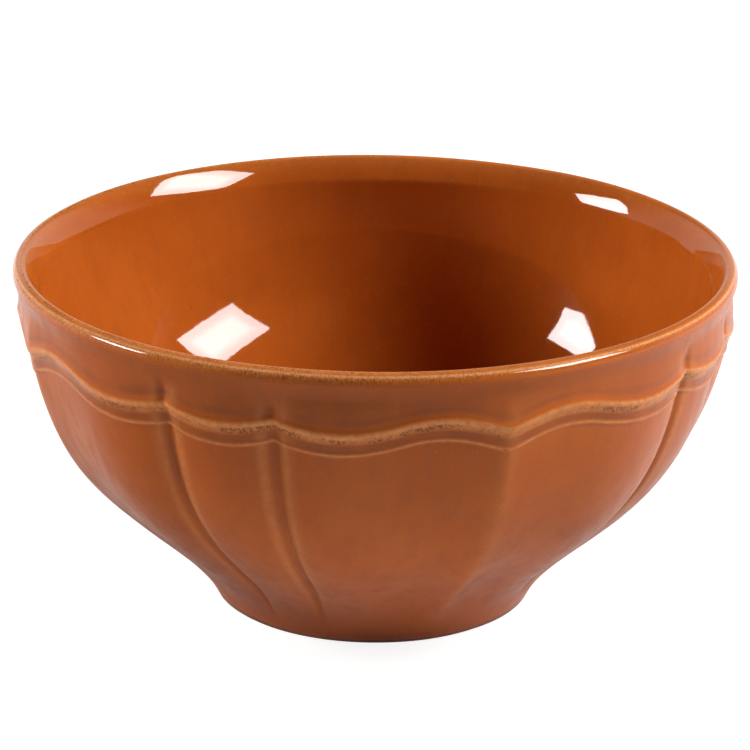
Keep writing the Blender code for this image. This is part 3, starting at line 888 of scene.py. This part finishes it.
def glaze_material(name, look):
    """Brown glaze: tan where it breaks over edges and where highlights are painted, grey-brown in hollows and
    painted shade, burnt specks, glossy inside.
    """
    material, tree, shader, coords = new_material(name)
    flow = noise(tree, coords, FLOW, 3.0, (1.0, 1.0, 0.22))
    ragged = ramp(tree, noise(tree, coords, RAGGED, 3.0), 0.30, 0.70, 0.55, 1.0)
    # Where the glaze breaks lighter over edges and where highlights are painted, made ragged by noise
    broken_and_highlight = times(tree, attribute(tree, "thin_and_highlight"), ragged)
    streaks = ramp(tree, noise(tree, coords, STREAKS, 2.0, (1.0, 1.0, 0.10)), 0.34, 0.66)
    clusters = ramp(tree, noise(tree, coords, CLUSTERS, 2.0), 0.38, 0.63, 0.10, 1.0)
    body = blend(tree, broken_and_highlight, glaze_ground(tree, coords, look, flow), look.thin_and_highlight)
    body = lip_runs(tree, body, streaks, clusters, look)
    tree.links.new(burnt_specks(tree, body, coords, clusters, look), shader.inputs["Base Color"])
    inside = attribute(tree, "inside")
    rough = ramp(tree, inside, 0.0, 1.0, look.matt, look.gloss)
    rough = times(tree, rough, ramp(tree, flow, 0.35, 0.70, 0.95, 1.25))
    rough = plus(tree, rough, times(tree, broken_and_highlight, 0.05))
    tree.links.new(rough, shader.inputs["Roughness"])
    shine = ramp(tree, inside, 0.0, 1.0, look.outer_shine, 0.5)
    tree.links.new(shine, shader.inputs["Specular IOR Level"])
    shader.inputs["IOR"].default_value = 1.5
    skin = noise(tree, coords, SKIN, 2.0)
    bump = add_node(tree, "ShaderNodeBump", {"Height": skin, "Strength": 0.03, "Distance": 0.3 * MM})
    tree.links.new(bump.outputs["Normal"], shader.inputs["Normal"])
    return material


def clay_material(name, look):
    """Dry fired clay: warm ground with iron grains, kiln shadows and a fine tooth."""
    material, tree, shader, coords = new_material(name)
    shadows = noise(tree, coords, SHADOWS, 4.0)
    grains = noise(tree, coords, IRON_GRAINS, 3.0)
    body = blend(tree, ramp(tree, shadows, 0.35, 0.70, 0.0, 0.55), look.clay, look.clay_dark)
    body = blend(tree, ramp(tree, grains, 0.55, 0.72, 0.0, 0.70), body, look.clay_dark)
    tree.links.new(body, shader.inputs["Base Color"])
    tree.links.new(ramp(tree, grains, 0.30, 0.70, 0.74, 0.92), shader.inputs["Roughness"])
    tooth = noise(tree, coords, TOOTH, 4.0)
    bump = add_node(tree, "ShaderNodeBump", {"Height": tooth, "Strength": 0.35, "Distance": 0.15 * MM})
    tree.links.new(bump.outputs["Normal"], shader.inputs["Normal"])
    return material


def toward(tree, way, sweep):
    """Cosine of the turn between a way and the sweep, both seen from above."""
    flat = vector_calc(tree, "MULTIPLY", way, (1.0, 1.0, 0.0)).outputs[0]
    flat = vector_calc(tree, "NORMALIZE", flat).outputs[0]
    return vector_calc(tree, "DOT_PRODUCT", flat, sweep).outputs["Value"]


def mirrored_floor(tree, coords, sweep):
    """Brightness of the floor in the glaze: bright towards the sweep, shaded near the bowl, dark in front."""
    away = vector_calc(tree, "LENGTH", coords).outputs["Value"]
    bright = ramp(tree, toward(tree, coords, sweep), *FLOOR_SIDES)
    shaded = times(tree, bright, ramp(tree, away, *FLOOR_SHADE))
    return plus(tree, shaded, ramp(tree, away, *FLOOR_BOUNCE))


def floor_material(name, tint, sweep):
    """Pale floor that reads white to the eye, keeps its shadow and is clear from below.

    It throws its colour back on the bowl; the eye gets a share of it and a glow, the gloss the sweep.
    """
    material, tree, shader, coords = new_material(name)
    output = tree.nodes["Material Output"]
    shader.inputs["Roughness"].default_value = 0.9
    shader.inputs["Specular IOR Level"].default_value = 0.0
    path = add_node(tree, "ShaderNodeLightPath")
    dim = tuple(FLOOR_SEEN * value for value in tint)
    ground = blend(tree, path.outputs["Is Diffuse Ray"], dim, tint)
    tree.links.new(ground, shader.inputs["Base Color"])
    mirrored = calc(tree, "MAXIMUM", path.outputs["Is Glossy Ray"], path.outputs["Is Transmission Ray"])
    eye = times(tree, path.outputs["Is Camera Ray"], FLOOR_GLOW)
    glow = add_node(tree, "ShaderNodeEmission", {"Color": WHITE, "Strength": eye})
    both = add_node(tree, "ShaderNodeAddShader", {0: shader.outputs[0], 1: glow.outputs[0]})
    seen = mirrored_floor(tree, coords, sweep)
    mirror = add_node(tree, "ShaderNodeEmission", {"Color": WHITE, "Strength": seen})
    both = add_node(tree, "ShaderNodeMixShader", {0: mirrored, 1: both.outputs[0], 2: mirror.outputs[0]})
    clear = add_node(tree, "ShaderNodeBsdfTransparent")
    below = add_node(tree, "ShaderNodeNewGeometry").outputs["Backfacing"]
    top = add_node(tree, "ShaderNodeMixShader", {0: below, 1: both.outputs[0], 2: clear.outputs[0]})
    tree.links.new(top.outputs[0], output.inputs["Surface"])
    return material


# Stage


def floor_mesh(name):
    """Disc on z = 0."""
    angle = np.arange(FLOOR_COLUMNS) * (2 * math.pi / FLOOR_COLUMNS)
    rim = FLOOR_RADIUS * np.stack([np.cos(angle), np.sin(angle), np.zeros(FLOOR_COLUMNS)], axis=1)
    mesh = bpy.data.meshes.new(name)
    mesh.from_pydata(rim.tolist(), [], [list(range(FLOOR_COLUMNS))])
    return mesh


def studio_way(clockwise, rise, camera_turn):
    """Unit direction from the bowl, given by a turn clockwise from behind it and a rise."""
    reach = math.cos(rise)
    way = Vector((math.sin(clockwise) * reach, math.cos(clockwise) * reach, math.sin(rise)))
    return Matrix.Rotation(camera_turn, 3, "Z") @ way


def add_lamp(name, way, level):
    """Soft lamp that shows in no gloss; at level one a white wall that faces it renders white."""
    lamp = bpy.data.lights.new(name, "AREA")
    lamp.shape = "RECTANGLE"
    lamp.size, lamp.size_y = (2 * LAMP_DISTANCE * math.tan(angle / 2) for angle in LAMP_SIZE)
    lamp.energy = level * (math.pi * LAMP_DISTANCE) ** 2
    item = bpy.data.objects.new(name, lamp)
    place = way * LAMP_DISTANCE + Vector((0.0, 0.0, LAMP_AIM))
    item.matrix_world = Matrix.Translation(place) @ way.to_track_quat("Z", "Y").to_matrix().to_4x4()
    item.visible_camera = False
    item.visible_glossy = False
    bpy.context.scene.collection.objects.link(item)


def add_camera(studio):
    """Camera on a sphere round the bowl, turned and raised as in the photograph."""
    aim = Vector((0.0, 0.0, studio.camera_aim))
    way = studio_way(math.pi, studio.camera_rise, studio.camera_turn)
    place = aim + studio.camera_distance * way
    right = Vector((0.0, 0.0, 1.0)).cross(way).normalized()
    up = way.cross(right)
    target = aim + studio.aim_up * up + studio.aim_right * right
    facing = (place - target).to_track_quat("Z", "Y").to_matrix().to_4x4()
    lens = bpy.data.cameras.new("studio_camera")
    lens.sensor_width = SENSOR_WIDTH
    lens.lens = studio.lens
    camera = bpy.data.objects.new("studio_camera", lens)
    camera.matrix_world = Matrix.Translation(place) @ facing @ Matrix.Rotation(studio.camera_roll, 4, "Z")
    bpy.context.scene.collection.objects.link(camera)
    bpy.context.scene.camera = camera


def soft_box(tree, way, corners):
    """Brightness of a box in the glaze, from the least distance of a way to the planes of its sides."""
    middle = sum(corners, Vector())
    least = None
    for first, second in zip(corners, corners[1:] + corners[:1]):
        side = first.cross(second).normalized()
        side *= math.copysign(1.0, side.dot(middle))
        depth = vector_calc(tree, "DOT_PRODUCT", way, side).outputs["Value"]
        least = depth if least is None else calc(tree, "MINIMUM", least, depth)
    edge = ramp(tree, least, 0.0, BOX_EDGE, 0.0, BOX_EDGE_SHARE)
    return plus(tree, edge, ramp(tree, least, *BOX_MIDDLE, 0.0, 1.0 - BOX_EDGE_SHARE))


def add_world(studio):
    """Surroundings: white for the eye, a dim horizon as light, a pale wall and soft boxes for the gloss."""
    world = bpy.data.worlds.new("studio_world")
    world.use_nodes = True
    bpy.context.scene.world = world
    tree = world.node_tree
    background = tree.nodes["Background"]
    way = add_node(tree, "ShaderNodeTexCoord").outputs["Generated"]
    height = add_node(tree, "ShaderNodeSeparateXYZ", {0: way}).outputs["Z"]
    around = studio.camera_turn
    bright = toward(tree, way, studio_way(studio.sweep_turn, 0.0, around))
    light = times(tree, ramp(tree, height, *HORIZON_HEIGHT), ramp(tree, bright, *HORIZON_SIDES))
    behind = toward(tree, way, studio_way(studio.horizon_turn, 0.0, around))
    wall = times(tree, ramp(tree, height, *WALL_HEIGHT), ramp(tree, behind, *WALL_SIDES))
    boxes = None
    for level, box in SOFT_BOXES:
        corners = [studio_way(*map(math.radians, corner), around) for corner in box]
        shine = times(tree, soft_box(tree, way, corners), level * studio.box_level)
        boxes = shine if boxes is None else plus(tree, boxes, shine)
    path = add_node(tree, "ShaderNodeLightPath")
    direct = calc(tree, "LESS_THAN", path.outputs["Glossy Depth"], FIRST_MIRROR)
    boxes = times(tree, boxes, direct)
    gloss = times(tree, plus(tree, wall, boxes), path.outputs["Is Glossy Ray"])
    light = times(tree, light, path.outputs["Is Diffuse Ray"])
    strength = calc(tree, "MAXIMUM", calc(tree, "MAXIMUM", light, gloss), path.outputs["Is Camera Ray"])
    background.inputs["Color"].default_value = WHITE
    tree.links.new(strength, background.inputs["Strength"])


# Operators


class SAUCEBOWL_OT_glaze_coat(bpy.types.Operator):
    """Lay the glaze over the inside, the lip and the outside of the bowl"""

    bl_idname = "sauce_bowl.glaze_coat"
    bl_label = "Glaze Coat"

    def execute(self, context):
        scene = context.scene
        bowl, foot, band = scene.bowl_form, scene.foot_form, scene.band_form
        coat = Coat(bowl, foot, band)
        angle = column_angles(bowl, band)
        rows = coat.stations()
        under = np.unique(np.append(rows[::UNDERSIDE_STRIDE], rows[-1]))[::-1]
        points = np.concatenate([
            coat.surface(rows, angle, 0.0), coat.surface(under, angle, foot.glaze_thickness),
        ])
        material = glaze_material("brown_glaze", scene.glaze_look)
        piece = add_piece("glaze_coat_piece", points, material, "glaze_coat")
        hidden = np.zeros((len(under), len(angle)))
        for name, grid in coat_marks(coat, rows, angle).items():
            mark(piece.data, name, np.concatenate([grid, hidden]))
        return {"FINISHED"}


class SAUCEBOWL_OT_clay_body(bpy.types.Operator):
    """Turn the clay body under the glaze, with its bare foot ring"""

    bl_idname = "sauce_bowl.clay_body"
    bl_label = "Clay Body"

    def execute(self, context):
        scene = context.scene
        bowl, foot, band = scene.bowl_form, scene.foot_form, scene.band_form
        coat = Coat(bowl, foot, band)
        angle = column_angles(bowl, band)
        depth = foot.glaze_thickness + foot.glaze_clearance
        rows = coat.stations()
        rows = np.unique(np.append(rows[::CLAY_STRIDE], rows[-1]))
        points = np.concatenate([
            coat.surface(rows, angle, depth),
            ringed(foot_section(bowl, foot), angle),
            ringed(well_section(bowl, foot, depth), angle),
        ])
        material = clay_material("bare_clay", scene.glaze_look)
        add_piece("clay_body_piece", points, material, "stoneware_body")
        return {"FINISHED"}


class SAUCEBOWL_OT_foot_well_glaze(bpy.types.Operator):
    """Glaze the well inside the foot ring"""

    bl_idname = "sauce_bowl.foot_well_glaze"
    bl_label = "Foot Well Glaze"

    def execute(self, context):
        scene = context.scene
        bowl, foot, band = scene.bowl_form, scene.foot_form, scene.band_form
        angle = column_angles(bowl, band)
        section = np.concatenate([
            well_section(bowl, foot, foot.glaze_thickness)[::-1], well_section(bowl, foot, 0.0),
        ])
        material = glaze_material("well_glaze", scene.glaze_look)
        add_piece("foot_well_glaze_piece", ringed(section, angle), material, "foot_well_glaze")
        return {"FINISHED"}


class SAUCEBOWL_OT_stage(bpy.types.Operator):
    """Set up the floor, the lamps, the surroundings and the camera"""

    bl_idname = "sauce_bowl.stage"
    bl_label = "Stage"

    def execute(self, context):
        scene = context.scene
        studio = scene.studio_setup
        floor = bpy.data.objects.new("studio_floor", floor_mesh("studio_floor"))
        around = studio.camera_turn
        sweep = studio_way(studio.floor_turn, 0.0, around)
        floor.data.materials.append(floor_material("pale_floor", studio.floor, sweep))
        scene.collection.objects.link(floor)
        add_lamp("key_lamp", studio_way(studio.key_turn, studio.key_rise, around), studio.key_level)
        add_lamp("fill_lamp", studio_way(studio.fill_turn, studio.fill_rise, around), studio.fill_level)
        add_world(studio)
        add_camera(studio)
        scene.view_settings.view_transform = "Standard"
        return {"FINISHED"}


class SAUCEBOWL_PT_bowl(bpy.types.Panel):
    """Bowl builder in the sidebar of the 3D view"""

    bl_idname = "SAUCEBOWL_PT_bowl"
    bl_label = "Sauce Bowl"
    bl_space_type = "VIEW_3D"
    bl_region_type = "UI"
    bl_category = "Bowl"

    def draw(self, context):
        for operator in OPERATORS:
            self.layout.operator(operator.bl_idname)
        for name, group in GROUPS.items():
            box = self.layout.box()
            box.label(text=group.__name__)
            for key in group.__annotations__:
                box.prop(getattr(context.scene, name), key)


GROUPS = {
    "bowl_form": BowlForm,
    "foot_form": FootForm,
    "band_form": BandForm,
    "glaze_look": GlazeLook,
    "studio_setup": StudioSetup,
}
OPERATORS = (
    SAUCEBOWL_OT_glaze_coat,
    SAUCEBOWL_OT_clay_body,
    SAUCEBOWL_OT_foot_well_glaze,
    SAUCEBOWL_OT_stage,
)


def register():
    """Register the classes and hang the property groups on the scene."""
    for item in (*GROUPS.values(), *OPERATORS, SAUCEBOWL_PT_bowl):
        bpy.utils.register_class(item)
    for name, group in GROUPS.items():
        setattr(bpy.types.Scene, name, bpy.props.PointerProperty(type=group))


def unregister():
    """Take the property groups off the scene and unregister the classes."""
    for name in GROUPS:
        delattr(bpy.types.Scene, name)
    for item in (SAUCEBOWL_PT_bowl, *reversed(OPERATORS), *reversed(GROUPS.values())):
        bpy.utils.unregister_class(item)


def main():
    """Build the bowl and its stage."""
    register()
    bpy.ops.sauce_bowl.glaze_coat()
    bpy.ops.sauce_bowl.clay_body()
    bpy.ops.sauce_bowl.foot_well_glaze()
    bpy.ops.sauce_bowl.stage()


if __name__ == "__main__":
    main()
